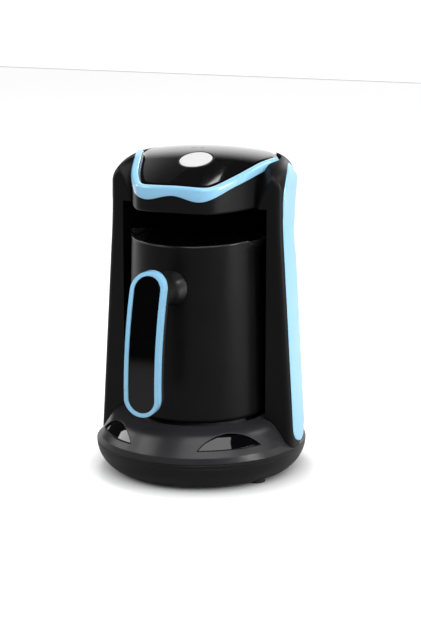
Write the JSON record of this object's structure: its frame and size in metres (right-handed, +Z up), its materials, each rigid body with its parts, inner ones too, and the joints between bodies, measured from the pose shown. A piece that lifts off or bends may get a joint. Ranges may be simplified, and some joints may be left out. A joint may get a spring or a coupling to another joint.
{
  "type": "electric turkish coffee maker",
  "caption": "Electric coffee maker: coated jug with a bowed grip on a hot plate, under a head with one push button, between two wings with coloured side strips.",
  "frame": {"origin": "on the ground under the middle of the whole machine, jug and handle included", "axes": "+Z up, the handle, the jug bay and the button face -Y, +X is to the right as seen from the front"},
  "size_m": [0.146, 0.1768, 0.2191],
  "materials": {
    "base_black": "matte",
    "deck_satin": "satin",
    "body_black": "matte",
    "gloss_black": "gloss",
    "sky_blue": "satin",
    "button_white": "satin",
    "jug_coating": "satin",
    "grip_black": "satin",
    "foot_rubber": "matte",
    "seal_silicone": "matte",
    "plate_steel": "brushed",
    "sheet_steel": "satin",
    "screw_steel": "satin",
    "board_green": "satin",
    "component_black": "matte",
    "terminal_green": "satin",
    "lens_smoke": "gloss",
    "led_clear": "gloss"
  },
  "bodies": {
    "machine": {"base_tray": "base_black", "base_deck": "deck_satin", "deck_window_left": "gloss_black", "deck_window_right": "gloss_black", "foot_front_left": "foot_rubber", "foot_front_right": "foot_rubber", "foot_rear_left": "foot_rubber", "foot_rear_right": "foot_rubber", "base_screws": "screw_steel", "hot_plate": "plate_steel", "plate_seal": "seal_silicone", "heater_ring": "sheet_steel", "thermostat": "component_black", "heat_shield": "sheet_steel", "tower_shell": "body_black", "rear_cover": "body_black", "cover_screws": "screw_steel", "cord_gland": "component_black", "power_board": "board_green", "relay": "component_black", "terminal_block": "terminal_green", "side_strip_left": "sky_blue", "side_strip_right": "sky_blue", "head_housing": "body_black", "head_floor": "body_black", "head_screws": "screw_steel", "sensor_lens": "lens_smoke", "foam_sensor": "board_green", "head_trim": "sky_blue", "head_cover": "gloss_black", "button_bezel": "component_black", "button_spring": "screw_steel", "control_board": "board_green", "tact_switch": "component_black", "buzzer": "component_black", "status_led": "led_clear", "board_screws": "screw_steel"},
    "jug": {"jug_body": "jug_coating", "handle_core": "grip_black", "handle_ring": "sky_blue", "handle_inlay": "gloss_black", "handle_screw": "screw_steel"},
    "button": {"button_cap": "button_white"}
  },
  "joints": [
    {"name": "jug_lift_out", "type": "slide", "parent": "machine", "child": "jug", "axis": [0, -1, 0], "range_m": [0, 0.125]},
    {"name": "button_press", "type": "slide", "parent": "machine", "child": "button", "axis": [0, 0.309, -0.9511], "range_m": [0, 0.0015], "stiffness_N_per_m": 900, "deforming": ["button_spring"]}
  ]
}
